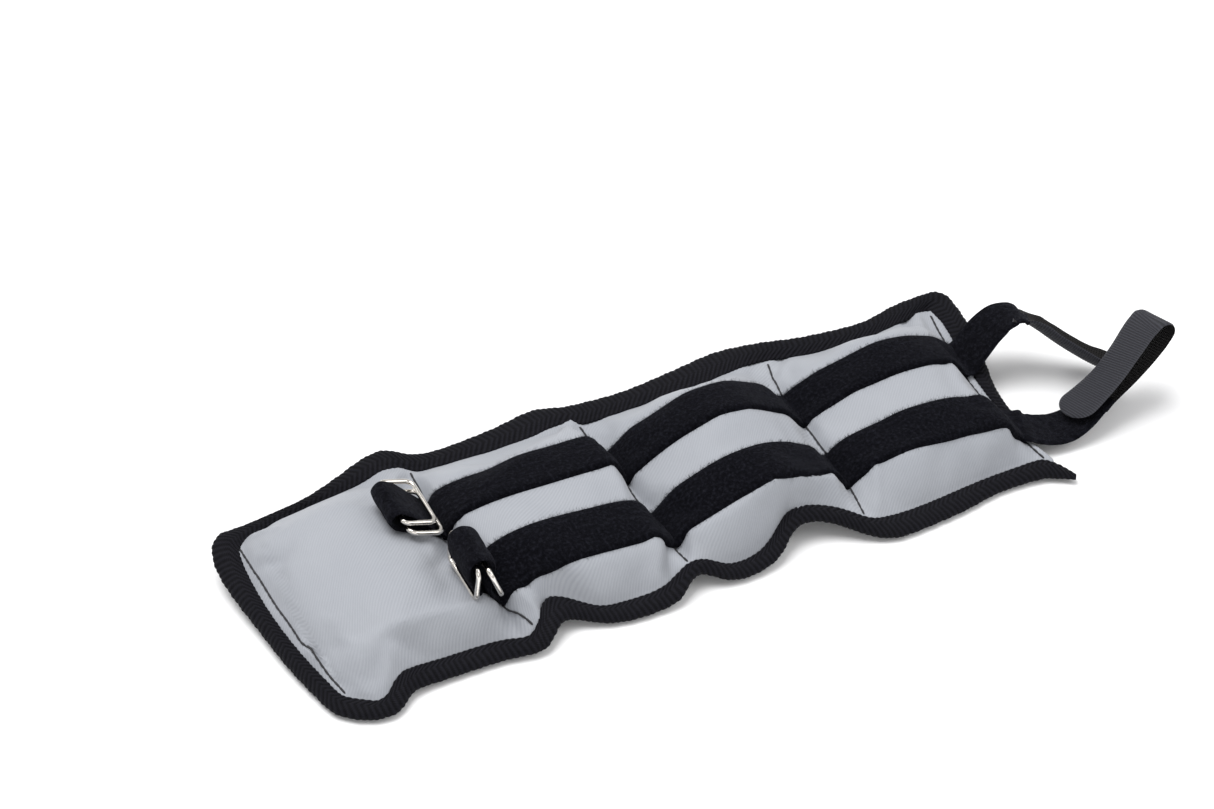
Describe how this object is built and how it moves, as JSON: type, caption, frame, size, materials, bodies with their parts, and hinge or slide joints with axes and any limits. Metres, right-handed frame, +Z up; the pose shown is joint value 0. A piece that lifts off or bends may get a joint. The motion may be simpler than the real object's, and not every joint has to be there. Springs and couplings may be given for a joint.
{
  "type": "ankle cuff weight",
  "caption": "Grey fabric ankle cuff weight with sewn shot pockets, black bound edges, hook-and-loop straps and nickel wire rings.",
  "frame": {"origin": "middle of the whole cuff's box, in the plane of the table that it lies on", "axes": "+X along the cuff from the plain end towards the strap end, +Y towards the rear edge, +Z up, away from the table"},
  "size_m": [0.3724, 0.1146, 0.0372],
  "materials": {
    "face_fabric": "light blue-grey coated polyester twill",
    "back_fabric": "black brushed lining",
    "bag_cloth": "tight plain-weave inner bag",
    "shot": "fine iron shot",
    "binding_tape": "black herringbone twill binding",
    "loop_velour": "black brushed loop velour",
    "hook_tape": "charcoal ribbed back with black hooks",
    "ring_wire": "bright nickel plate",
    "thread": "black polyester thread"
  },
  "bodies": {
    "pocket_2": {"face_panel_2": "face_fabric", "back_panel_2": "back_fabric", "weight_bag_2": "bag_cloth", "shot_fill_2": "shot", "rear_binding_2": "binding_tape", "front_binding_2": "binding_tape", "rear_strap_2": "loop_velour", "front_strap_2": "loop_velour", "rear_keeper": "loop_velour", "front_keeper": "loop_velour", "seam_stitch_1": "thread", "seam_stitch_2": "thread"},
    "pocket_1": {"face_panel_1": "face_fabric", "back_panel_1": "back_fabric", "weight_bag_1": "bag_cloth", "shot_fill_1": "shot", "rear_binding_1": "binding_tape", "front_binding_1": "binding_tape", "left_end_binding": "binding_tape", "end_stitch_left": "thread"},
    "pocket_3": {"face_panel_3": "face_fabric", "back_panel_3": "back_fabric", "weight_bag_3": "bag_cloth", "shot_fill_3": "shot", "rear_binding_3": "binding_tape", "front_binding_3": "binding_tape", "rear_strap_3": "loop_velour", "front_strap_3": "loop_velour"},
    "pocket_4": {"face_panel_4": "face_fabric", "back_panel_4": "back_fabric", "weight_bag_4": "bag_cloth", "shot_fill_4": "shot", "rear_binding_4": "binding_tape", "front_binding_4": "binding_tape", "rear_strap_4": "loop_velour", "front_strap_4": "loop_velour", "right_end_binding": "binding_tape", "seam_stitch_3": "thread", "end_stitch_right": "thread"},
    "rear_strap": {"rear_strap_free": "loop_velour"},
    "rear_tape": {"rear_hook_tape": "hook_tape"},
    "front_strap": {"front_strap_free": "loop_velour", "front_hook_tape": "hook_tape"},
    "front_tab": {"front_hook_tab": "hook_tape"},
    "rear_ring_upper": {"rear_ring_upper": "ring_wire"},
    "rear_ring_lower": {"rear_ring_lower": "ring_wire"},
    "front_ring_left": {"front_ring_left": "ring_wire"},
    "front_ring_right": {"front_ring_right": "ring_wire"}
  },
  "joints": [
    {"name": "pocket_1_fold", "type": "hinge", "parent": "pocket_2", "child": "pocket_1", "pos_m": [-0.104, 0, 0.0065], "axis": [0.0637, -0.998, 0], "range_deg": [0, 75]},
    {"name": "pocket_3_fold", "type": "hinge", "parent": "pocket_2", "child": "pocket_3", "pos_m": [-0.0325, 0, 0.0065], "axis": [-0.0425, 0.9991, 0], "range_deg": [-30, 75]},
    {"name": "pocket_4_fold", "type": "hinge", "parent": "pocket_3", "child": "pocket_4", "pos_m": [0.042, 0, 0.0065], "axis": [0.1058, 0.9944, 0], "range_deg": [-30, 75]},
    {"name": "rear_strap_swing", "type": "hinge", "parent": "pocket_4", "child": "rear_strap", "pos_m": [0.1198, 0.0122, 0.0102], "axis": [0.0848, 0.9964, 0], "range_deg": [-50, 30]},
    {"name": "rear_tape_bend", "type": "hinge", "parent": "rear_strap", "child": "rear_tape", "pos_m": [0.1494, 0.0124, 0.0249], "axis": [0, 0.866, -0.5], "range_deg": [-60, 30]},
    {"name": "front_strap_swing", "type": "hinge", "parent": "pocket_4", "child": "front_strap", "pos_m": [0.1179, -0.0278, 0.0097], "axis": [0.0848, 0.9964, 0], "range_deg": [-75, 0]},
    {"name": "front_tab_peel", "type": "hinge", "parent": "front_strap", "child": "front_tab", "pos_m": [0.181, -0.0229, 0.0343], "axis": [0, 0.9511, -0.309], "range_deg": [0, 110]},
    {"name": "rear_ring_upper_swing", "type": "hinge", "parent": "pocket_2", "child": "rear_ring_upper", "pos_m": [-0.1237, 0.0147, 0.0273], "axis": [0, -1, 0], "range_deg": [0, 150]},
    {"name": "rear_ring_lower_swing", "type": "hinge", "parent": "pocket_2", "child": "rear_ring_lower", "pos_m": [-0.122, 0.0147, 0.0236], "axis": [0, -1, 0], "range_deg": [0, 4]},
    {"name": "front_ring_left_swing", "type": "hinge", "parent": "pocket_2", "child": "front_ring_left", "pos_m": [-0.1104, -0.0228, 0.0302], "axis": [0, 1, 0], "range_deg": [0, 150]},
    {"name": "front_ring_right_swing", "type": "hinge", "parent": "pocket_2", "child": "front_ring_right", "pos_m": [-0.1069, -0.0228, 0.0298], "axis": [0, -1, 0], "range_deg": [0, 150]}
  ]
}
